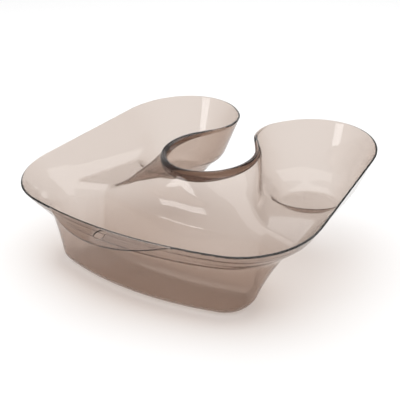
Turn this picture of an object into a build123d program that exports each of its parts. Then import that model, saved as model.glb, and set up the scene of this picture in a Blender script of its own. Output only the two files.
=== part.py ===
from build123d import *
import os
from math import acos, atan2, cos, degrees, hypot, radians, sin, sqrt, tan

os.makedirs("parts", exist_ok=True)

# A shoulder tray moulded from thin clear plastic. Seen from above it is a C: a deep basin at the
# front, two round cups at the back and a notch for the neck between them.
# Millimetres. The origin is the middle of the basin's flat foot, +Z is up, the front is -Y.

wall = 2.0
neck_y = 120.0            # the neck notch's centre is this far behind the foot's centre
rim_height = 119.0        # of the rim plane above the table, at the notch's centre
rim_tilt = 9.5            # degrees: the rim plane climbs towards the back
trough_height = 70.0      # underside of the trough that joins the basin to the cups
bilge_height = 82.0       # above the trough's rounded bottom edges the walls run straight to the rim
foot_round = 11.0
corner_round = 13.0

# Collar: the tray's wall climbs above the rim plane at the notch, folds over and comes down again.
collar_rise = 9.4         # at the notch's front, falling to nothing before the cups' tips
collar_lean = 31.0        # degrees from upright of the climbing wall
collar_spare = 14.0       # blank height above the rim plane, before trimming
skirt_drop = 15.0         # of the folded skirt at the notch's front
skirt_inset = 4.5         # the skirt's neck side stands this far inside the notch's circle
skirt_lap = 0.8           # and this far outside the wall at the cups' tips
collar_stop = 14.0        # the collar stops this far short of the tips' hinge line
collar_reach = 105.0      # half width of the zone that holds the collar and no outer wall
rear_start = -66.0        # the cups' regions start here, measured from the notch's centre

# Hang tab: a crescent flange that hangs down and out from the rim's front edge.
tab_x = -7.0              # its middle, a little to the left of the tray's
tab_half_width = 86.0
tab_depth = 21.5          # along the flange
tab_spare = 10.0          # blank strip beyond the crescent's ends
tab_lean = 65.0           # degrees from upright
hole_radius = 6.5
hole_drop = 8.0           # of the hole's centre below the rim, along the flange

# Each outline is drawn about the neck notch's centre and mirrored in X:
# front edge, front corner, side, cup, cup's tip, neck line, notch side, notch front.
rim_shape = {
    "front": 188.5, "front_radius": 587.0, "corner_radius": 85.0, "corner_x": 111.0,
    "cup_radius": 85.5, "cup_x": 96.0, "cup_y": 60.0, "tip_radius": 46.0, "tip_angle": 139.7,
    "notch_radius": 60.5, "ridge": None,
}
bilge_shape = {
    "front": 183.4, "front_radius": 480.0, "corner_radius": 78.0, "corner_x": 103.0,
    "cup_radius": 60.0, "cup_x": 97.0, "cup_y": 67.0, "tip_radius": 50.0, "tip_angle": 139.7,
    "notch_radius": 62.0, "ridge": (96.0, -57.0), "back_middle": -68.5,
}
trough_shape = {
    "front": 175.0, "front_radius": 350.0, "corner_radius": 72.0, "corner_x": 94.0,
    "cup_radius": 48.0, "cup_x": 102.0, "cup_y": 69.0, "tip_radius": 44.0, "tip_angle": 139.7,
    "notch_radius": 70.0, "ridge": (114.0, -64.0), "back_middle": -72.0,
}
basin_shape = {           # the basin's section at trough height
    "front": 172.0, "front_radius": 330.0, "corner_radius": 70.0, "corner_x": 90.0,
    "side_turn": 5.0, "back": (114.0, -64.0), "back_middle": -72.0,
}
foot_shape = {            # and at the table
    "front": 158.0, "front_radius": 354.0, "corner_radius": 32.0, "corner_x": 97.0,
    "side_turn": 29.0, "back": (112.0, -72.0), "back_middle": -88.0,
}
recess_depth = 13.0       # the cups' floors lie this far below the trough
recess_radius = 52.0       # at the trough, where it stops at the cups' walls
recess_floor_radius = 30.0
ridge_angle = -38.0       # where the hill's ridge meets the notch circle, degrees
notch_flat = 0.5          # the notch's front is this much flatter than its circle

block_width = 600.0       # of the blocks that cut the moulding, wider than the tray
block_depth = 400.0
block_rise = 80.0         # of the cutting blocks above the rim and collar
corner_least_length = 50.0  # the basin's upright back corners are longer than this,
corner_find = 3.0         # and their middles lie this near the middle of its back


def bearing(start, end):
    return atan2(end[1] - start[1], end[0] - start[0])


def tangent_ends(c1, r1, c2, r2):
    """Ends of the line tangent to two circles, with both on the line's left.
    A negative radius puts that circle on the line's right."""
    along = bearing(c1, c2)
    lean = acos((r2 - r1) / hypot(c2[0] - c1[0], c2[1] - c1[1]))
    normal = (cos(along + lean), sin(along + lean))
    start = (c1[0] - r1 * normal[0], c1[1] - r1 * normal[1])
    end = (c2[0] - r2 * normal[0], c2[1] - r2 * normal[1])
    return start, end


def sweep_arc(centre, radius, start, end, clockwise=False):
    """Arc between two bearings in radians."""
    turn = degrees(end - start) % 360
    if clockwise:
        turn -= 360
    CenterArc(centre, radius, degrees(start), turn)


def hill_front(ridge, middle):
    """Right half of the arc from the ridge through the middle point to the mirrored ridge."""
    rise = ridge[1] - middle[1]
    radius = (ridge[0]**2 + rise**2) / (2 * rise)
    centre = (0, middle[1] + radius)
    sweep_arc(centre, radius, bearing(centre, ridge), radians(-90), True)


def half_outline(shape, inset):
    """Right half of a C outline as edges, moved inwards by inset."""
    front_centre = (0, shape["front_radius"] - shape["front"])
    front_radius = shape["front_radius"] - inset
    corner_radius = shape["corner_radius"] - inset
    reach = front_radius - corner_radius
    corner = (shape["corner_x"], front_centre[1] - sqrt(reach**2 - shape["corner_x"]**2))
    cup = (shape["cup_x"], shape["cup_y"])
    cup_radius = shape["cup_radius"] - inset
    tip_radius = shape["tip_radius"] - inset
    tip_turn = radians(shape["tip_angle"])
    tip_reach = cup_radius - tip_radius
    tip = (cup[0] + tip_reach * cos(tip_turn), cup[1] + tip_reach * sin(tip_turn))
    notch = (0, 0)
    notch_radius = shape["notch_radius"] + inset
    front_turn = bearing(front_centre, corner)
    sweep_arc(front_centre, front_radius, radians(-90), front_turn)
    side_start, side_end = tangent_ends(corner, corner_radius, cup, cup_radius)
    sweep_arc(corner, corner_radius, front_turn, bearing(corner, side_start))
    Line(side_start, side_end)
    sweep_arc(cup, cup_radius, bearing(cup, side_end), tip_turn)
    neck_start, neck_end = tangent_ends(tip, tip_radius, notch, -notch_radius)
    sweep_arc(tip, tip_radius, tip_turn, bearing(tip, neck_start))
    Line(neck_start, neck_end)
    if shape["ridge"]:
        ridge = (shape["ridge"][0] + inset, shape["ridge"][1] - inset)
        Line(neck_end, ridge)
        middle = (0, shape["back_middle"] - inset)
        hill_front(ridge, middle)
    else:
        ridge_turn = radians(ridge_angle)
        ridge = (notch_radius * cos(ridge_turn), notch_radius * sin(ridge_turn))
        sweep_arc(notch, notch_radius, bearing(notch, neck_end), ridge_turn, True)
        reach = notch_radius - notch_flat
        centre = (0, (notch_radius**2 - reach**2) / (2 * (reach + ridge[1])))
        sweep_arc(centre, reach + centre[1], bearing(centre, ridge), radians(-90), True)


def outline_face(plane, shape, inset):
    """The whole C outline as a face; edges in line stay apart, so that lofts match edge by edge."""
    with BuildLine(plane) as line:
        half_outline(shape, inset)
        mirror(about=Plane.YZ)
    return make_face(line.edges())


def tilted_plane(origin, tilt):
    """Plane that climbs towards the back by tilt degrees."""
    return Plane(origin=origin, x_dir=(1, 0, 0), z_dir=(0, -sin(radians(tilt)), cos(radians(tilt))))


rim_plane = tilted_plane((0, neck_y, rim_height), rim_tilt)
neck_plane = Plane(origin=(0, neck_y, 0))

# The collar's blank: the hill's wall carried on above the rim plane, leaning in over the notch.
spare_shape = dict(rim_shape, notch_radius=rim_shape["notch_radius"]
                   - collar_spare * tan(radians(collar_lean)))


def dish(inset):
    """Solid inside the C-shaped dish, from the trough's floor to the blank top of the collar."""
    sections = [outline_face(neck_plane.offset(trough_height + inset), trough_shape, inset),
                outline_face(neck_plane.offset(bilge_height), bilge_shape, inset),
                outline_face(rim_plane, rim_shape, inset),
                outline_face(rim_plane.offset(collar_spare), spare_shape, inset)]
    with BuildPart() as solid:
        loft(sections, ruled=True)
    return solid.part


def half_basin(shape, inset):
    """Right half of the basin's outline as edges, moved inwards by inset."""
    front_centre = (0, shape["front_radius"] - shape["front"])
    front_radius = shape["front_radius"] - inset
    corner_radius = shape["corner_radius"] - inset
    reach = front_radius - corner_radius
    corner = (shape["corner_x"], front_centre[1] - sqrt(reach**2 - shape["corner_x"]**2))
    front_turn = bearing(front_centre, corner)
    sweep_arc(front_centre, front_radius, radians(-90), front_turn)
    side_turn = radians(shape["side_turn"])
    side = (corner[0] + corner_radius * cos(side_turn), corner[1] + corner_radius * sin(side_turn))
    back = (shape["back"][0] - inset, shape["back"][1] - inset)
    sweep_arc(corner, corner_radius, front_turn, side_turn)
    Line(side, back)
    hill_front(back, (0, shape["back_middle"] - inset))


def basin_face(plane, shape, inset):
    with BuildLine(plane) as line:
        half_basin(shape, inset)
        mirror(about=Plane.YZ)
    return make_face(line.edges())


def basin(inset):
    """Solid inside the basin, from its foot to the trough's floor."""
    sections = [basin_face(neck_plane.offset(inset), foot_shape, inset),
                basin_face(neck_plane.offset(trough_height + inset), basin_shape, inset)]
    with BuildPart() as solid:
        loft(sections, ruled=True)
        back_y = neck_y + (basin_shape["back"][1] + foot_shape["back"][1]) / 2
        side_x = foot_shape["back"][0] - foot_round
        uprights = solid.edges().filter_by(lambda e: e.length > corner_least_length)
        back_corners = uprights.filter_by(
            lambda e: abs(e.center().Y - back_y) < corner_find and abs(e.center().X) > side_x)
        fillet(back_corners, radius=corner_round - inset)
        fillet(solid.faces().sort_by(Axis.Z)[0].edges(), radius=foot_round - inset)
    return solid.part


def recesses(inset):
    """The cups' floors, a little below the trough."""
    cup_floors = [(side * trough_shape["cup_x"], trough_shape["cup_y"]) for side in (-1, 1)]
    floor_plane = neck_plane.offset(trough_height - recess_depth + inset)
    within_walls = outline_face(floor_plane, trough_shape, inset)
    with BuildPart(floor_plane) as solid:
        with Locations(*cup_floors):
            Cone(recess_floor_radius - inset, recess_radius - inset, recess_depth,
                 align=(Align.CENTER, Align.CENTER, Align.MIN))
        extrude(within_walls, amount=recess_depth, dir=(0, 0, 1), mode=Mode.INTERSECT)
    return solid.part


def slab(plane, low, high):
    """A wide block between two heights above a plane."""
    with BuildPart() as block:
        with BuildSketch(plane.offset(low)):
            Rectangle(block_width, block_width)
        extrude(amount=high - low)
    return block.part


outer_solids = [dish(0), basin(0), recesses(0)]
inner_solids = [dish(wall), basin(wall), recesses(wall)]
with BuildPart() as moulding:
    add(outer_solids)
    add(inner_solids, mode=Mode.SUBTRACT)

# The tray proper stops at the rim plane.
above_rim = slab(rim_plane, 0, block_rise)
below_rim = slab(rim_plane, -block_depth, 0)
with BuildPart() as tray:
    add(moulding.part)
    add(above_rim, mode=Mode.SUBTRACT)

# The collar's edge and its skirt's end lie in planes that meet the rim plane at the cups' tips.
tip_turn = radians(rim_shape["tip_angle"])
tip_y = rim_shape["cup_y"] + rim_shape["cup_radius"] * sin(tip_turn)
collar_end = tip_y - collar_stop
tip_line = rim_plane.from_local_coords((0, tip_y, 0))
collar_run = tip_y + rim_shape["notch_radius"]
edge_plane = tilted_plane(tip_line, rim_tilt - degrees(atan2(collar_rise, collar_run)))
skirt_plane = tilted_plane(tip_line, rim_tilt - degrees(atan2(collar_rise - skirt_drop, collar_run)))


# The skirt is a band inside the notch's outline, hanging square to the rim plane.
skirt_shape = dict(rim_shape, notch_radius=rim_shape["notch_radius"] - skirt_inset)
skirt_low = rim_plane.offset(-skirt_drop)
skirt_neck_side = outline_face(skirt_low, skirt_shape, -skirt_lap)
skirt_tray_side = outline_face(skirt_low, skirt_shape, wall - skirt_lap)
below_skirt = slab(skirt_plane, -block_depth, 0)
above_edge = slab(edge_plane, 0, block_rise)

with BuildPart() as skirt:
    extrude(skirt_neck_side, amount=skirt_drop + collar_spare, dir=rim_plane.z_dir)
    extrude(skirt_tray_side, amount=skirt_drop + collar_spare, dir=rim_plane.z_dir, mode=Mode.SUBTRACT)
    add(below_skirt, mode=Mode.SUBTRACT)

with BuildPart() as collar_zone:
    with BuildSketch(rim_plane):
        with Locations((0, (collar_end - collar_reach) / 2)):
            Rectangle(2 * collar_reach, collar_end + collar_reach)
    extrude(amount=2 * skirt_drop, both=True)

with BuildPart() as neck_collar:
    add(moulding.part)
    add(below_rim, mode=Mode.SUBTRACT)
    add(skirt.part)
    add(above_edge, mode=Mode.SUBTRACT)
    add(collar_zone.part, mode=Mode.INTERSECT)
    add(tray.part, mode=Mode.SUBTRACT)

# The hang tab is a strip of the rim's front edge drawn down and out, cut to a crescent.
lean = radians(tab_lean)
tab_down = Vector(0, -sin(lean), -cos(lean))
rim_front = rim_plane.from_local_coords((tab_x, -rim_shape["front"], 0))
tab_plane = Plane(origin=rim_front, x_dir=(1, 0, 0), z_dir=(0, -cos(lean), sin(lean)))
strip_width = wall / cos(radians(tab_lean + rim_tilt))
with BuildSketch(rim_plane) as strip:
    with Locations((0, rim_shape["front_radius"] - rim_shape["front"])):
        Circle(rim_shape["front_radius"])
        Circle(rim_shape["front_radius"] - strip_width, mode=Mode.SUBTRACT)
    with Locations((tab_x, -rim_shape["front"])):
        Rectangle(2 * (tab_half_width + tab_spare), 3 * tab_depth, mode=Mode.INTERSECT)
tab_radius = (tab_half_width**2 + tab_depth**2) / (2 * tab_depth)
with BuildPart() as crescent:
    with BuildSketch(tab_plane):
        with Locations((0, tab_radius - tab_depth)):
            Circle(tab_radius)
        with Locations((0, -hole_drop)):
            Circle(hole_radius, mode=Mode.SUBTRACT)
    extrude(amount=3 * tab_depth, both=True)
with BuildPart() as hang_tab:
    extrude(strip.sketch, amount=2 * tab_depth, dir=tab_down)
    add(crescent.part, mode=Mode.INTERSECT)
    add(outer_solids, mode=Mode.SUBTRACT)

# The moulding's regions, each a plain solid that meets its neighbours face to face.
back_plane = Plane((0, neck_y + rear_start, 0), x_dir=(1, 0, 0), z_dir=(0, 1, 0))
back_block = slab(back_plane, 0, block_depth)
upper_block = slab(Plane.XY, trough_height, block_depth)
left_block = slab(Plane.YZ, -block_depth, 0)
with BuildPart() as front_basin:
    add(tray.part)
    add(upper_block, mode=Mode.SUBTRACT)
    add(back_block, mode=Mode.SUBTRACT)
with BuildPart() as front_brim:
    add(tray.part)
    add(upper_block, mode=Mode.INTERSECT)
    add(back_block, mode=Mode.SUBTRACT)
with BuildPart() as left_cup:
    add(tray.part)
    add(back_block, mode=Mode.INTERSECT)
    add(left_block, mode=Mode.INTERSECT)
with BuildPart() as right_cup:
    add(tray.part)
    add(back_block, mode=Mode.INTERSECT)
    add(left_block, mode=Mode.SUBTRACT)

pieces = {
    "front_basin": front_basin, "front_brim": front_brim, "left_cup": left_cup,
    "right_cup": right_cup, "neck_collar": neck_collar, "hang_tab": hang_tab,
}
for name, piece in pieces.items():
    piece.part.label = name
    export_step(piece.part, f"parts/{name}.step")
    print(name, len(piece.part.solids()), round(piece.part.volume), piece.part.bounding_box())
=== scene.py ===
from math import cos, pi, radians, sin, sqrt, tan

import bmesh
import bpy
import numpy as np
from mathutils import Matrix, Vector


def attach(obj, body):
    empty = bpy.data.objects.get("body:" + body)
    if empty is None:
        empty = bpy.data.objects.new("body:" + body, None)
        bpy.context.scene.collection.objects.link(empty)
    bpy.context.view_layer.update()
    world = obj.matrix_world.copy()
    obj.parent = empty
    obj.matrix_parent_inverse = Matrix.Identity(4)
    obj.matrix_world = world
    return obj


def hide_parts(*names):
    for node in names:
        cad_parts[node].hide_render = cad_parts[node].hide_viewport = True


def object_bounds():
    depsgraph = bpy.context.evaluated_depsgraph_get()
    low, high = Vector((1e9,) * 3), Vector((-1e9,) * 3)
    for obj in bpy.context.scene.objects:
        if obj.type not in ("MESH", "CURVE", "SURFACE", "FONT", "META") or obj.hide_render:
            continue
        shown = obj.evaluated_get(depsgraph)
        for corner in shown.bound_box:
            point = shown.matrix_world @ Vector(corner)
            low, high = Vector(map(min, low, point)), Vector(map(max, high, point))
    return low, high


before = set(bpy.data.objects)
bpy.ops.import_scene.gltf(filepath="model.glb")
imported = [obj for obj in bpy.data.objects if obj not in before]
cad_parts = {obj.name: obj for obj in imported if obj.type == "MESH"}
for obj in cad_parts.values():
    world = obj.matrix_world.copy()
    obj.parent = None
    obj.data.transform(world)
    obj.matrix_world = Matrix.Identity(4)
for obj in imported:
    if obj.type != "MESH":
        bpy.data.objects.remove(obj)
cad_box = [Vector(corner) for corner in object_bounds()]
bpy.context.scene.view_settings.view_transform = "Standard"

# One piece of clear smoke-brown plastic. Its mid-surface is the zero level of a field worked out from
# the tray's outlines at a few heights; the collar's bead and the hang tab are then joined to it.
# Shapes are worked out in millimetres and made in metres.
MM = 0.001

# ---------------------------------------------------------------- sizes, millimetres
wall = 2.0
neck_y = 120.0            # the notch's centre
rim_height = 119.0        # of the rim plane, at the notch's centre
rim_tilt = 9.5            # degrees
trough_height = 70.0
bilge_height = 82.0       # of the section between the trough and the rim
foot_round = 13.0         # between the foot and the basin's walls
cup_round = 10.0          # between the dish's walls and its trough
crest_round = 16.0        # where the trough turns down into the basin
front_cup_round = 9.0     # the same two along the front
front_crest_round = 2.5
front_start = -160.0      # measured from the notch's centre, the rounding changes from here
front_run = 60.0          # over this distance
front_drop = 8.0          # the trough's edge runs this much lower along the front
ridge_round = 22.0        # between the hill's front and its sides
least_ridge = 0.001       # share of it that is left where the ridge is flat
bend_reach = 8.0          # the walls' bends between sections are rounded over this height at the bilge
recess_depth = 13.0       # of each cup's sunk floor
recess_radius = 54.0      # where the floor starts to sink
recess_floor_radius = 33.0
basin_hollow = 0.13       # half way up, the basin's outline is this share nearer to the foot's
basin_most = 1.2          # the basin's sizes stop changing this many trough heights above the foot

collar_rise = 8.4         # of the collar's edge over the rim plane, at the notch's front
collar_spare = 14.0       # height over the rim plane of the outline that guides the collar
spare_most = 1.5          # the collar's sizes stop changing at this many times that height
collar_side = 95.0        # the collar is gone this far to each side of the notch's centre
collar_front = -110.0     # and this far in front of it
collar_fade = 15.0        # over this distance
bead_radius = 3.3
bead_thin = 0.45          # the bead's radius where it begins, as a share of the wall
bead_height = 14.5        # at the notch's front
bead_start = 0.02         # share of the collar's rise where the bead begins
bead_full = 0.6           # and how much later it is at full thickness
bead_step = 2.5           # between its sections
bead_sink = 0.4           # it covers the wall's edge by this much
bead_sides = 16
rim_ease = 0.2            # the rounded rim ends this much below the rim plane
edge_round = 0.6
edge_steps = 2
sharp_turn = radians(60)  # edges that turn by more are rounded
smooth_turn = radians(50)  # edges that turn by less are shaded smooth

tab_x = -7.0
tab_half_width = 86.0
tab_depth = 21.5
tab_lean = 65.0           # degrees from straight down
hole_radius = 6.5
hole_drop = 8.0           # from the rim
hole_sides = 64
pin_length = 12.0
tab_columns = 80
tab_rows = 8
tab_start = 1.2           # the plate starts this far below the rim, inside the wall
tab_least = 0.6

grid_step = 2.5
grid_low = (-202.0, -74.0, -4.0)
grid_high = (202.0, 272.0, 152.0)
relax_rounds = 6
snap_share = 0.36         # points this share of a grid step from the cut are moved onto it
snap_rounds = 6
snap_most = 3             # a point that would go this many times further stays where it is
cut_tolerance = 1e-4
least_edge = 0.02         # shorter edges are dissolved after the cut
far_away = 1e6            # further than any edge
tiny = 1e-9               # keeps a division from zero
solve_guard = 1e-6        # keeps two equations solvable where their surfaces run side by side
floor_gap = 0.4           # keeps the tray's foot and the floor from lying in one plane
floor_reach = 6.0         # metres

# Outlines about the neck notch's centre, right half; the left half is its mirror.
rim_shape = {
    "front": 188.5, "front_radius": 587.0, "corner_radius": 85.0, "corner_x": 111.0,
    "cup_radius": 85.5, "cup_x": 96.0, "cup_y": 60.0, "tip_radius": 46.0,
    "notch_radius": 60.5, "ridge_x": 47.7, "ridge_y": -37.2, "back": 60.5,
    "side_bend": 1 / 60.5, "back_bend": 1 / 60.0,
}
bilge_shape = {
    "front": 183.4, "front_radius": 480.0, "corner_radius": 78.0, "corner_x": 103.0,
    "cup_radius": 60.0, "cup_x": 97.0, "cup_y": 67.0, "tip_radius": 50.0,
    "notch_radius": 62.0, "ridge_x": 96.0, "ridge_y": -57.0, "back": 68.5,
    "side_bend": 0.0008, "back_bend": 0.0024,
}
trough_shape = {
    "front": 175.0, "front_radius": 350.0, "corner_radius": 72.0, "corner_x": 94.0,
    "cup_radius": 48.0, "cup_x": 102.0, "cup_y": 69.0, "tip_radius": 44.0,
    "notch_radius": 70.0, "ridge_x": 114.0, "ridge_y": -64.0, "back": 72.0,
    "side_bend": 0.0001, "back_bend": 0.0012,
}
# the outline that guides the collar, collar_spare above the rim plane
spare_shape = dict(rim_shape, notch_radius=52.1, ridge_x=41.1, ridge_y=-32.1, back=52.1,
                   side_bend=1 / 52.1, back_bend=1 / 51.6)
tip_turn = radians(139.7)  # direction from the cup's centre to where its tip begins

foot_shape = {
    "front": 158.0, "front_radius": 354.0, "corner_radius": 32.0, "corner_x": 97.0,
    "side_turn": radians(29.0), "ridge_x": 112.0, "ridge_y": -72.0, "back": 88.0, "back_bend": 0.0025,
}
basin_shape = {
    "front": 172.0, "front_radius": 330.0, "corner_radius": 70.0, "corner_x": 90.0,
    "side_turn": radians(5.0), "ridge_x": 114.0, "ridge_y": -64.0, "back": 72.0, "back_bend": 0.0012,
}


# ---------------------------------------------------------------- distances to outlines
def cross(ax, ay, bx, by):
    """Cross product of two flat vectors."""
    return ax * by - ay * bx


def nearer(best, signed, valid=True):
    """Keeps the signed distance of the nearer edge."""
    return np.where(valid & (np.abs(signed) < np.abs(best)), signed, best)


def smooth_step(value):
    """0 to 1 with level ends."""
    value = np.clip(value, 0, 1)
    return value * value * (3 - 2 * value)


def round_max(a, b, radius):
    """The larger of two fields, with the edge between them rounded."""
    reach = np.hypot(np.maximum(a + radius, 0), np.maximum(b + radius, 0))
    return np.minimum(np.maximum(a, b), -radius) + reach


def soft_min(a, b, reach):
    """The smaller of two fields, with a soft blend between them."""
    near = np.maximum(reach - np.abs(a - b), 0) / reach
    return np.minimum(a, b) - near**2 * reach / 4


def arc_distance(x, y, cx, cy, radius, start, end, hollow=False):
    """Distance inside an arc that runs from point start to point end, and where it counts."""
    gap = radius - np.hypot(x - cx, y - cy)
    turn = np.sign(cross(start[0] - cx, start[1] - cy, end[0] - cx, end[1] - cy))
    past_start = cross(start[0] - cx, start[1] - cy, x - cx, y - cy) * turn
    before_end = cross(x - cx, y - cy, end[0] - cx, end[1] - cy) * turn
    return (-gap if hollow else gap), (past_start >= 0) & (before_end >= 0)


def line_distance(x, y, start, end):
    """Distance to the left of a straight edge."""
    dx, dy = end[0] - start[0], end[1] - start[1]
    length = np.hypot(dx, dy)
    along = np.clip(((x - start[0]) * dx + (y - start[1]) * dy) / length**2, 0, 1)
    gap = np.hypot(x - start[0] - along * dx, y - start[1] - along * dy)
    return gap * np.where(cross(dx, dy, x - start[0], y - start[1]) >= 0, 1, -1)


def bent_centre(start, end, bend):
    """Centre of an edge that bulges to its left by the curvature bend."""
    dx, dy = end[0] - start[0], end[1] - start[1]
    half = np.hypot(dx, dy) / 2
    depth = np.sqrt(np.maximum(1 / bend**2 - half**2, 0))
    middle = (start[0] + end[0]) / 2, (start[1] + end[1]) / 2
    return middle[0] + dy / (2 * half) * depth, middle[1] - dx / (2 * half) * depth


def tangent_ends(c1, r1, c2, r2):
    """Where a straight edge touches two circles; a negative radius puts its circle on the other side."""
    along = np.arctan2(c2[1] - c1[1], c2[0] - c1[0])
    lean = np.arccos(np.clip((r2 - r1) / np.hypot(c2[0] - c1[0], c2[1] - c1[1]), -1, 1))
    nx, ny = np.cos(along + lean), np.sin(along + lean)
    return (c1[0] - r1 * nx, c1[1] - r1 * ny), (c2[0] - r2 * nx, c2[1] - r2 * ny)


def front_and_corner(s):
    """Centre of the front arc and of the front corner, and the point where they meet."""
    front_y = s["front_radius"] - s["front"]
    reach = s["front_radius"] - s["corner_radius"]
    corner = (s["corner_x"], front_y - np.sqrt(reach**2 - s["corner_x"]**2))
    turn = np.arctan2(corner[1] - front_y, corner[0])
    meet = (s["front_radius"] * np.cos(turn), front_y + s["front_radius"] * np.sin(turn))
    return front_y, corner, meet


def dish_outline(x, y, s):
    """Distance inside the C outline; s holds its sizes, which may differ from point to point."""
    front_y, corner, meet = front_and_corner(s)
    zero = 0 * s["front"]
    cup = (s["cup_x"], s["cup_y"])
    reach = s["cup_radius"] - s["tip_radius"]
    tip = (cup[0] + reach * cos(tip_turn), cup[1] + reach * sin(tip_turn))
    tip_start = (cup[0] + s["cup_radius"] * cos(tip_turn), cup[1] + s["cup_radius"] * sin(tip_turn))
    side_start, side_end = tangent_ends(corner, s["corner_radius"], cup, s["cup_radius"])
    neck_start, neck_end = tangent_ends(tip, s["tip_radius"], (zero, zero), -s["notch_radius"])
    ridge = (s["ridge_x"], s["ridge_y"])
    best = np.full(np.shape(x), far_away)
    best = nearer(best, *arc_distance(x, y, zero, front_y, s["front_radius"], (zero, -s["front"]), meet))
    best = nearer(best, *arc_distance(x, y, *corner, s["corner_radius"], meet, side_start))
    best = nearer(best, line_distance(x, y, side_start, side_end))
    best = nearer(best, *arc_distance(x, y, *cup, s["cup_radius"], side_end, tip_start))
    best = nearer(best, *arc_distance(x, y, *tip, s["tip_radius"], tip_start, neck_start))
    best = nearer(best, line_distance(x, y, neck_start, neck_end))
    return hill_distance(x, y, s, best, neck_end, ridge)


def hill_distance(x, y, s, best, neck_end, ridge):
    """Adds the hill's side and front, with the ridge between them rounded."""
    back = (0 * s["front"], -s["back"])
    side_centre = bent_centre(neck_end, ridge, s["side_bend"])
    back_centre = bent_centre(ridge, back, s["back_bend"])
    side, beside = arc_distance(x, y, *side_centre, 1 / s["side_bend"], neck_end, ridge, True)
    front, before = arc_distance(x, y, *back_centre, 1 / s["back_bend"], ridge, back, True)
    lean = ((ridge[0] - side_centre[0]) * (ridge[0] - back_centre[0])
            + (ridge[1] - side_centre[1]) * (ridge[1] - back_centre[1])) * s["side_bend"] * s["back_bend"]
    both = round_max(side, front, ridge_round * np.clip(1 - lean, least_ridge, 1))
    near = np.hypot(x - ridge[0], y - ridge[1]) < np.abs(best)
    known = (beside & (side > front - ridge_round)) | (before & (front > side - ridge_round)) | near
    best = nearer(best, both, known)
    return np.minimum(best, np.hypot(x, y) - s["notch_radius"])


def basin_outline(x, y, s):
    """Distance inside the basin's D outline."""
    front_y, corner, meet = front_and_corner(s)
    zero = 0 * s["front"]
    side = (corner[0] + s["corner_radius"] * np.cos(s["side_turn"]),
            corner[1] + s["corner_radius"] * np.sin(s["side_turn"]))
    ridge = (s["ridge_x"], s["ridge_y"])
    best = np.full(np.shape(x), far_away)
    best = nearer(best, *arc_distance(x, y, zero, front_y, s["front_radius"], (zero, -s["front"]), meet))
    best = nearer(best, *arc_distance(x, y, *corner, s["corner_radius"], meet, side))
    best = nearer(best, line_distance(x, y, side, ridge))
    back = (zero, -s["back"])
    centre = bent_centre(ridge, back, s["back_bend"])
    return nearer(best, *arc_distance(x, y, *centre, 1 / s["back_bend"], ridge, back, True))


# ---------------------------------------------------------------- the tray's field
def mixed(low, high, share):
    """Sizes a share of the way from low to high."""
    return {key: low[key] + (high[key] - low[key]) * share for key in low}


def rim_z(y):
    """Height of the rim plane; y is from the notch's centre."""
    return rim_height + y * tan(radians(rim_tilt))


def rim_share(y, z):
    """0 up to the bilge, 1 from the rim plane up."""
    return np.clip((z - bilge_height) / (rim_z(y) - bilge_height), 0, 1)


def plane_y(y, z):
    """y measured along the section's own plane, which is level at the bilge and tilted at the rim."""
    return y * (1 + rim_share(y, z) * (1 / cos(radians(rim_tilt)) - 1))


def dish_sizes(y, z):
    """The C outline's sizes at a point's height, worked between the sections below and above it."""
    top = rim_z(y)
    low = np.clip((z - trough_height) / (bilge_height - trough_height), 0, 1)
    middle = rim_share(y, z)
    high = np.clip((z - top) / collar_spare, 0, spare_most)
    sizes = mixed(trough_shape, bilge_shape, low)
    sizes = {key: sizes[key] + (rim_shape[key] - bilge_shape[key]) * middle for key in sizes}
    return {key: sizes[key] + (spare_shape[key] - rim_shape[key]) * high for key in sizes}


def averaged(sizes, y, z, reach):
    """Sizes averaged over a height range, which rounds the bends between sections."""
    parts = [sizes(y, z - reach), sizes(y, z), sizes(y, z + reach)]
    return {key: (parts[0][key] + 2 * parts[1][key] + parts[2][key]) / 4 for key in parts[0]}


def basin_sizes(y, z):
    """The basin's sizes at a height; its walls are hollow in profile."""
    share = np.clip(z / trough_height, 0, basin_most) + 0 * y
    return mixed(foot_shape, basin_shape, share - basin_hollow * 4 * share * np.maximum(1 - share, 0))


def tray_field(points):
    """Negative inside the tray's hollow, zero on the wall's middle; points in millimetres."""
    x = np.abs(points[:, 0])
    y = points[:, 1] - neck_y
    z = points[:, 2]
    half = wall / 2
    rear = smooth_step((y - front_start) / front_run)
    sizes = averaged(dish_sizes, y, z, bend_reach * (1 - rim_share(y, z)))
    side = half - dish_outline(x, plane_y(y, z), sizes)
    from_cup = np.hypot(x - trough_shape["cup_x"], y - trough_shape["cup_y"])
    sunk = smooth_step((recess_radius - from_cup) / (recess_radius - recess_floor_radius))
    floor = trough_height - recess_depth * sunk - front_drop * (1 - rear)
    dish = round_max(side, floor + half - z, front_cup_round + (cup_round - front_cup_round) * rear)
    basin = round_max(half - basin_outline(x, y, basin_sizes(y, z)), half - z, foot_round)
    crest = front_crest_round + (crest_round - front_crest_round) * rear
    return soft_min(dish, basin, crest)


def gradient(field, points, step=0.05):
    """How fast the field changes along X, Y and Z."""
    slope = np.empty_like(points)
    for axis in range(3):
        shift = np.zeros(3)
        shift[axis] = step
        slope[:, axis] = (field(points + shift) - field(points - shift)) / (2 * step)
    return slope


def onto_field(field, points, rounds=3, most=2.0, least_slope=0.05):
    """Moves points onto the field's zero level."""
    for _ in range(rounds):
        slope = gradient(field, points)
        size = np.maximum((slope**2).sum(1), least_slope)
        move = -(field(points) / size)[:, None] * slope
        length = np.linalg.norm(move, axis=1)
        move *= (np.minimum(length, most) / np.maximum(length, tiny))[:, None]
        points = points + move
    return points


# ---------------------------------------------------------------- mesh of a field's zero level
def cells_beside(edges, others, shifts):
    """The cells beside each grid edge, one array for each shift back along the other two axes."""
    found = []
    for back_a, back_b in shifts:
        cell = edges.copy()
        cell[:, others[0]] -= back_a
        cell[:, others[1]] -= back_b
        found.append(cell)
    return found


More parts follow.
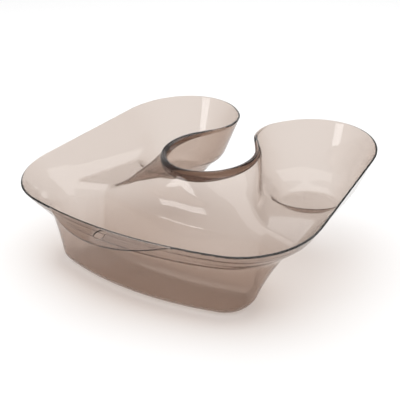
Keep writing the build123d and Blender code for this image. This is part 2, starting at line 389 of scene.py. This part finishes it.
def crossed_edges(values, axis):
    """Grid edges along the axis where the field changes sign, and its values at their ends."""
    first = [slice(None)] * 3
    second = [slice(None)] * 3
    first[axis] = slice(0, -1)
    second[axis] = slice(1, None)
    before, after = values[tuple(first)], values[tuple(second)]
    edges = np.argwhere((before < 0) != (after < 0))
    return edges, before[tuple(edges.T)], after[tuple(edges.T)]


def edge_faces(numbers, cells, axis, others, edges, inside_first):
    """One four-sided face round each crossed edge."""
    inner = (edges[:, others[0]] > 0) & (edges[:, others[1]] > 0)
    inner &= (edges[:, others[0]] < cells[others[0]]) & (edges[:, others[1]] < cells[others[1]])
    ring = cells_beside(edges[inner], others, ((1, 1), (0, 1), (0, 0), (1, 0)))
    quad = np.stack([numbers[tuple(cell.T)] for cell in ring], 1)
    turned = inside_first[inner] if axis == 1 else ~inside_first[inner]
    quad[turned] = quad[turned][:, ::-1]
    return quad


def level_mesh(field, low, high, step):
    """Points and four-sided faces of the zero level inside a box, one point to each cell it crosses."""
    counts = np.ceil((high - low) / step).astype(int) + 1
    axes = [low[k] + step * np.arange(counts[k]) for k in range(3)]
    grid = np.stack(np.meshgrid(*axes, indexing="ij"), -1)
    values = field(grid.reshape(-1, 3)).reshape(counts)
    cells = counts - 1
    total = np.zeros(tuple(cells) + (3,))
    hits = np.zeros(tuple(cells))
    crossings = []
    for axis in range(3):
        edges, before, after = crossed_edges(values, axis)
        place = low + step * edges.astype(float)
        place[:, axis] += step * before / (before - after)
        others = [k for k in range(3) if k != axis]
        for cell in cells_beside(edges, others, ((0, 0), (0, 1), (1, 0), (1, 1))):
            within = ((cell >= 0) & (cell < cells)).all(1)
            index = tuple(cell[within].T)
            np.add.at(total, index, place[within])
            np.add.at(hits, index, 1)
        crossings.append((axis, others, edges, before < 0))
    used = hits > 0
    numbers = np.full(tuple(cells), -1)
    numbers[used] = np.arange(used.sum())
    points = total[used] / hits[used][:, None]
    faces = [edge_faces(numbers, cells, *crossing) for crossing in crossings]
    return points, np.concatenate(faces)


def relax(field, points, faces, rounds, share=0.5):
    """Evens out the spacing of points along the surface."""
    edges = np.concatenate([faces[:, [k, (k + 1) % 4]] for k in range(4)])
    ends = np.concatenate([edges, edges[:, ::-1]])
    count = np.bincount(ends[:, 0], minlength=len(points))[:, None]
    for _ in range(rounds):
        total = np.stack([np.bincount(ends[:, 0], points[ends[:, 1], k], len(points)) for k in range(3)], 1)
        points = points + share * (total / count - points)
        points = onto_field(field, points, 1)
    return points


# ---------------------------------------------------------------- the cut at the rim and collar
tip_y = rim_shape["cup_y"] + rim_shape["cup_radius"] * sin(tip_turn)


def collar_share(x, y):
    """1 at the notch's front, falling to 0 at the cups' tips; y is from the notch's centre."""
    run = tip_y + rim_shape["notch_radius"]
    beside = smooth_step((collar_side - np.abs(x)) / collar_fade)
    beside = beside * smooth_step((y - collar_front) / collar_fade)
    return np.clip((tip_y - y) / run, 0, 1) * beside


def cut_height(x, y):
    """Height of the sheet's edge; y is from the notch's centre."""
    return rim_z(y) - rim_ease + collar_rise * collar_share(x, y)


def above_cut(points):
    """How far points in millimetres are above the sheet's edge."""
    y = points[:, 1] - neck_y
    return points[:, 2] - cut_height(points[:, 0], y)


def snap_to_cut(points, reach):
    """Points near the cut move along the surface onto it, so that the cut leaves no thin faces."""
    near = np.abs(above_cut(points)) < reach
    spot = points[near]
    for _ in range(snap_rounds):
        rows = np.stack([gradient(tray_field, spot), gradient(above_cut, spot)], 1)
        gaps = np.stack([tray_field(spot), above_cut(spot)], 1)
        gram = rows @ rows.transpose(0, 2, 1)
        gram += np.eye(2) * solve_guard
        spot = spot - (rows.transpose(0, 2, 1) @ np.linalg.solve(gram, gaps[:, :, None]))[:, :, 0]
    moved = np.linalg.norm(spot - points[near], axis=1) < snap_most * reach
    kept = points.copy()
    kept[np.flatnonzero(near)[moved]] = spot[moved]
    return kept


def trimmed(points, faces):
    """bmesh of the sheet below the cut."""
    mesh = bmesh.new()
    flat = points.copy()
    flat[:, 2] = above_cut(points)
    verts = [mesh.verts.new(p) for p in flat]
    for face in faces:
        mesh.faces.new([verts[i] for i in face])
    geometry = mesh.verts[:] + mesh.edges[:] + mesh.faces[:]
    bmesh.ops.bisect_plane(mesh, geom=geometry, dist=cut_tolerance, plane_co=(0, 0, 0),
                           plane_no=(0, 0, 1), clear_outer=True)
    bmesh.ops.dissolve_degenerate(mesh, dist=least_edge, edges=mesh.edges[:])
    bmesh.ops.delete(mesh, geom=[edge for edge in mesh.edges if not edge.link_faces], context="EDGES")
    for v in mesh.verts:
        v.co.z += float(cut_height(np.array([v.co.x]), np.array([v.co.y - neck_y]))[0])
    return mesh


def edge_loop(mesh):
    """The sheet's edge as one closed list of vertices."""
    after = {}
    for edge in mesh.edges:
        if edge.is_boundary:
            for v in edge.verts:
                after.setdefault(v, []).append(edge.other_vert(v))
    first = next(iter(after))
    loop = [first, after[first][0]]
    while True:
        step = [v for v in after[loop[-1]] if v is not loop[-2]][0]
        if step is first:
            return loop
        loop.append(step)


def even_path(places):
    """Even steps along a closed path, starting away from the collar."""
    start = int(np.argmin(collar_share(places[:, 0], places[:, 1] - neck_y)))
    places = np.roll(places, -start, 0)
    along = np.concatenate([[0], np.cumsum(np.linalg.norm(np.diff(places, axis=0), axis=1))])
    steps = np.arange(0, along[-1], bead_step)
    return np.stack([np.interp(steps, along, places[:, k]) for k in range(3)], 1)


def bead_ring(place, out, share):
    """Section of the bead at a place on the notch's edge: an upright bar with round ends."""
    grow = float(smooth_step((share - bead_start) / bead_full))
    thin = bead_thin * wall
    radius = thin + (bead_radius - thin) * grow
    top = place + out * (radius - wall / 2 - bead_sink * grow) - Vector((0, 0, radius))
    drop = max(bead_height * share - 2 * radius, 0) * grow
    ring = []
    for k in range(bead_sides):
        angle = 2 * pi * (k + 0.5) / bead_sides
        spot = top + out * (radius * cos(angle)) + Vector((0, 0, radius * sin(angle)))
        if sin(angle) < 0:
            spot.z -= drop
        ring.append(spot)
    return ring


def collar_bead(sheet):
    """The collar's thick edge along the front and sides of the neck notch."""
    places = even_path(np.array([v.co for v in edge_loop(sheet)]))
    share = collar_share(places[:, 0], places[:, 1] - neck_y)
    outward = gradient(tray_field, places)
    outward[:, 2] = 0
    mesh = bmesh.new()
    rings = []
    for k in np.flatnonzero(share > bead_start):
        ring = bead_ring(Vector(places[k]), Vector(outward[k]).normalized(), share[k])
        rings.append([mesh.verts.new(spot) for spot in ring])
    for left, right in zip(rings, rings[1:]):
        for k in range(bead_sides):
            after = (k + 1) % bead_sides
            mesh.faces.new((left[k], right[k], right[after], left[after]))
    mesh.faces.new(rings[0])
    mesh.faces.new(rings[-1])
    bmesh.ops.recalc_face_normals(mesh, faces=mesh.faces[:])
    return mesh


# ---------------------------------------------------------------- objects from meshes
def shown(name, mesh):
    """An object in metres from a bmesh in millimetres."""
    bmesh.ops.scale(mesh, vec=(MM, MM, MM), verts=mesh.verts)
    data = bpy.data.meshes.new(name)
    mesh.to_mesh(data)
    mesh.free()
    obj = bpy.data.objects.new(name, data)
    bpy.context.scene.collection.objects.link(obj)
    return obj


def settled(obj):
    """The object's modifiers become its mesh."""
    bpy.context.view_layer.update()
    result = bpy.data.meshes.new_from_object(obj.evaluated_get(bpy.context.evaluated_depsgraph_get()))
    obj.modifiers.clear()
    obj.data = result


def rounded(obj):
    """Rounds the object's sharp edges."""
    edge = obj.modifiers.new("edge", "BEVEL")
    edge.width = edge_round * MM
    edge.segments = edge_steps
    edge.limit_method = "ANGLE"
    edge.angle_limit = sharp_turn


def merged(obj, other, operation):
    """Joins the other object to this one, or cuts it out, and removes it."""
    join = obj.modifiers.new("join", "BOOLEAN")
    join.operation = operation
    join.solver = "MANIFOLD"
    join.object = other
    settled(obj)
    bpy.data.objects.remove(other)


# ---------------------------------------------------------------- material
def node(tree, kind, **values):
    """A new shader node with its inputs set by name."""
    made = tree.nodes.new(kind)
    for key, value in values.items():
        made.inputs[key.replace("_", " ")].default_value = value
    return made


def smoke_plastic():
    """Clear smoke-brown plastic: the tint comes from how far light runs through it."""
    material = bpy.data.materials.new("smoke_plastic")
    material.use_nodes = True
    tree = material.node_tree
    tree.nodes.clear()
    link = tree.links.new
    place = tree.nodes.new("ShaderNodeTexCoord")

    # the moulding's faint waviness and its slightly uneven polish
    waves = node(tree, "ShaderNodeTexNoise", Scale=9.0, Detail=2.0, Roughness=0.4)
    link(place.outputs["Object"], waves.inputs["Vector"])
    bump = node(tree, "ShaderNodeBump", Strength=0.03, Distance=0.002)
    link(waves.outputs["Fac"], bump.inputs["Height"])
    polish = node(tree, "ShaderNodeTexNoise", Scale=38.0, Detail=4.0, Roughness=0.6)
    link(place.outputs["Object"], polish.inputs["Vector"])
    roughness = node(tree, "ShaderNodeMapRange", To_Min=0.03, To_Max=0.10)
    link(polish.outputs["Fac"], roughness.inputs["Value"])

    clear = node(tree, "ShaderNodeBsdfPrincipled", Base_Color=(1, 1, 1, 1), Transmission_Weight=1.0,
                 IOR=1.49)
    link(roughness.outputs["Result"], clear.inputs["Roughness"])
    link(bump.outputs["Normal"], clear.inputs["Normal"])

    # shadow rays, and rays that come off the floor, pass straight through
    through = node(tree, "ShaderNodeBsdfTransparent", Color=(1, 1, 1, 1))
    path = tree.nodes.new("ShaderNodeLightPath")
    straight = tree.nodes.new("ShaderNodeMath")
    straight.operation = "MAXIMUM"
    link(path.outputs["Is Shadow Ray"], straight.inputs[0])
    link(path.outputs["Is Diffuse Ray"], straight.inputs[1])
    mix = tree.nodes.new("ShaderNodeMixShader")
    link(straight.outputs["Value"], mix.inputs["Fac"])
    link(clear.outputs["BSDF"], mix.inputs[1])
    link(through.outputs["BSDF"], mix.inputs[2])
    absorb = node(tree, "ShaderNodeVolumeAbsorption", Color=(0.65, 0.53, 0.445, 1), Density=510.0)
    output = tree.nodes.new("ShaderNodeOutputMaterial")
    link(mix.outputs["Shader"], output.inputs["Surface"])
    link(absorb.outputs["Volume"], output.inputs["Volume"])
    return material


def floor_paper():
    """Plain, matt and nearly white."""
    material = bpy.data.materials.new("floor_paper")
    material.use_nodes = True
    shader = material.node_tree.nodes["Principled BSDF"]
    shader.inputs["Base Color"].default_value = (0.9, 0.9, 0.9, 1)
    shader.inputs["Roughness"].default_value = 0.9
    shader.inputs["Specular IOR Level"].default_value = 0.1
    return material


# ---------------------------------------------------------------- studio
def stage_floor():
    """The plain floor, just under the foot."""
    data = bpy.data.meshes.new("floor")
    corners = [(x * floor_reach, y * floor_reach, 0) for x, y in ((-1, -1), (1, -1), (1, 1), (-1, 1))]
    data.from_pydata(corners, [], [(0, 1, 2, 3)])
    data.materials.append(floor_paper())
    floor = bpy.data.objects.new("floor", data)
    floor.location.z = -floor_gap * MM
    bpy.context.scene.collection.objects.link(floor)


def world_light(strength):
    """Even light from all round."""
    world = bpy.data.worlds.new("studio")
    bpy.context.scene.world = world
    world.use_nodes = True
    background = world.node_tree.nodes["Background"]
    background.inputs["Color"].default_value = (1, 1, 1, 1)
    # the camera sees plain white beyond the floor
    path = world.node_tree.nodes.new("ShaderNodeLightPath")
    seen = node(world.node_tree, "ShaderNodeMapRange", To_Min=strength, To_Max=1.0)
    world.node_tree.links.new(path.outputs["Is Camera Ray"], seen.inputs["Value"])
    world.node_tree.links.new(seen.outputs["Result"], background.inputs["Strength"])


def softbox(name, direction, distance, size, power):
    """A rectangular soft light in that direction from the tray's middle, facing it."""
    data = bpy.data.lights.new(name, "AREA")
    data.shape = "RECTANGLE"
    data.size, data.size_y = size
    data.energy = power
    lamp = bpy.data.objects.new(name, data)
    middle = (cad_box[0] + cad_box[1]) / 2
    toward = Vector(direction).normalized()
    lamp.location = middle + toward * distance
    lamp.rotation_euler = toward.to_track_quat("Z", "Y").to_euler()
    lamp.visible_camera = False
    lamp.visible_transmission = False
    bpy.context.scene.collection.objects.link(lamp)


# ---------------------------------------------------------------- the tray
def tray_sheet():
    """The wall's mid-surface, cut off at the rim and the collar's edge."""
    points, faces = level_mesh(tray_field, np.array(grid_low), np.array(grid_high), grid_step)
    points = onto_field(tray_field, points)
    points = relax(tray_field, points, faces, relax_rounds)
    points = onto_field(tray_field, points)
    points = snap_to_cut(points, snap_share * grid_step)
    return trimmed(points, faces)


def tray_shell():
    """The sheet given its thickness, with the collar's bead joined on."""
    sheet = tray_sheet()
    bead = shown("collar_bead", collar_bead(sheet))
    bmesh.ops.recalc_face_normals(sheet, faces=sheet.faces[:])
    tray = shown("shoulder_tray", sheet)
    thick = tray.modifiers.new("thick", "SOLIDIFY")
    thick.thickness = wall * MM
    thick.offset = 0
    rounded(tray)
    settled(tray)
    merged(tray, bead, "UNION")
    return tray


# ---------------------------------------------------------------- the hang tab
tab_down = Vector((0, -sin(radians(tab_lean)), -cos(radians(tab_lean))))
tab_out = Vector((0, -cos(radians(tab_lean)), sin(radians(tab_lean))))


def rim_front(x, inset):
    """Point on the rim's front edge, moved inwards by inset."""
    reach = rim_shape["front_radius"] - inset
    y = rim_shape["front_radius"] - rim_shape["front"] - sqrt(reach**2 - x**2)
    return Vector((x, neck_y + y * cos(radians(rim_tilt)), rim_height + y * sin(radians(rim_tilt))))


def tab_plate():
    """A crescent that hangs down and out from the rim's front edge."""
    mesh = bmesh.new()
    radius = (tab_half_width**2 + tab_depth**2) / (2 * tab_depth)
    columns = []
    for i in range(tab_columns + 1):
        across = tab_half_width * (2 * i / tab_columns - 1)
        depth = sqrt(radius**2 - across**2) - (radius - tab_depth)
        top = rim_front(tab_x + across, wall / 2)
        column = []
        for side in (-0.5, 0.5):
            for k in range(tab_rows + 1):
                down = tab_start + max(depth - tab_start, tab_least) * k / tab_rows
                column.append(mesh.verts.new(top + tab_down * down + tab_out * (side * wall)))
        columns.append(column)
    side_rows = tab_rows + 1
    ring = list(range(side_rows)) + list(range(2 * side_rows - 1, side_rows - 1, -1))
    for left, right in zip(columns, columns[1:]):
        for a, b in zip(ring, ring[1:] + ring[:1]):
            mesh.faces.new((left[a], right[a], right[b], left[b]))
    for column in (columns[0], columns[-1]):
        for k in range(tab_rows):
            mesh.faces.new((column[k], column[k + 1], column[side_rows + k + 1], column[side_rows + k]))
    bmesh.ops.recalc_face_normals(mesh, faces=mesh.faces[:])
    return shown("tab_plate", mesh)


def hole_pin():
    """The round bar that cuts the tab's hole."""
    mesh = bmesh.new()
    centre = rim_front(tab_x, 0) + tab_down * hole_drop
    turn = tab_out.to_track_quat("Z", "Y").to_matrix().to_4x4()
    bmesh.ops.create_cone(mesh, cap_ends=True, segments=hole_sides, radius1=hole_radius,
                          radius2=hole_radius, depth=pin_length, matrix=Matrix.Translation(centre) @ turn)
    return shown("hole_pin", mesh)


tray = tray_shell()
plate = tab_plate()
merged(plate, hole_pin(), "DIFFERENCE")
rounded(plate)
settled(plate)
merged(tray, plate, "UNION")
tray.data.polygons.foreach_set("use_smooth", [True] * len(tray.data.polygons))
tray.data.set_sharp_from_angle(angle=smooth_turn)

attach(tray, "root")
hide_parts("front_basin", "front_brim", "left_cup", "right_cup", "neck_collar", "hang_tab")

tray.data.materials.clear()
tray.data.materials.append(smoke_plastic())

# ---------------------------------------------------------------- stage
stage_floor()
world_light(0.58)
softbox("overhead", (0.0, 0.1, 1.0), 3.0, (5.0, 5.0), 110)
softbox("front_left", (-0.50, -0.83, 0.14), 1.5, (0.4, 0.4), 2.2)
softbox("back_left", (-0.43, 0.81, 0.42), 1.5, (0.5, 0.5), 0.6)

# ---------------------------------------------------------------- camera
camera_data = bpy.data.cameras.new("camera")
camera_data.sensor_width = 36.0
camera_data.lens = 73.13
camera = bpy.data.objects.new("camera", camera_data)
view_right = Vector((0.8155, 0.5788, 0.0))
view_up = Vector((-0.2235, 0.3149, 0.9224))
view_back = view_right.cross(view_up)
camera.matrix_world = Matrix((view_right, view_up, view_back)).transposed().to_4x4()
camera.location = (0.5252, -0.6404, 0.4471)
bpy.context.scene.collection.objects.link(camera)
bpy.context.scene.camera = camera
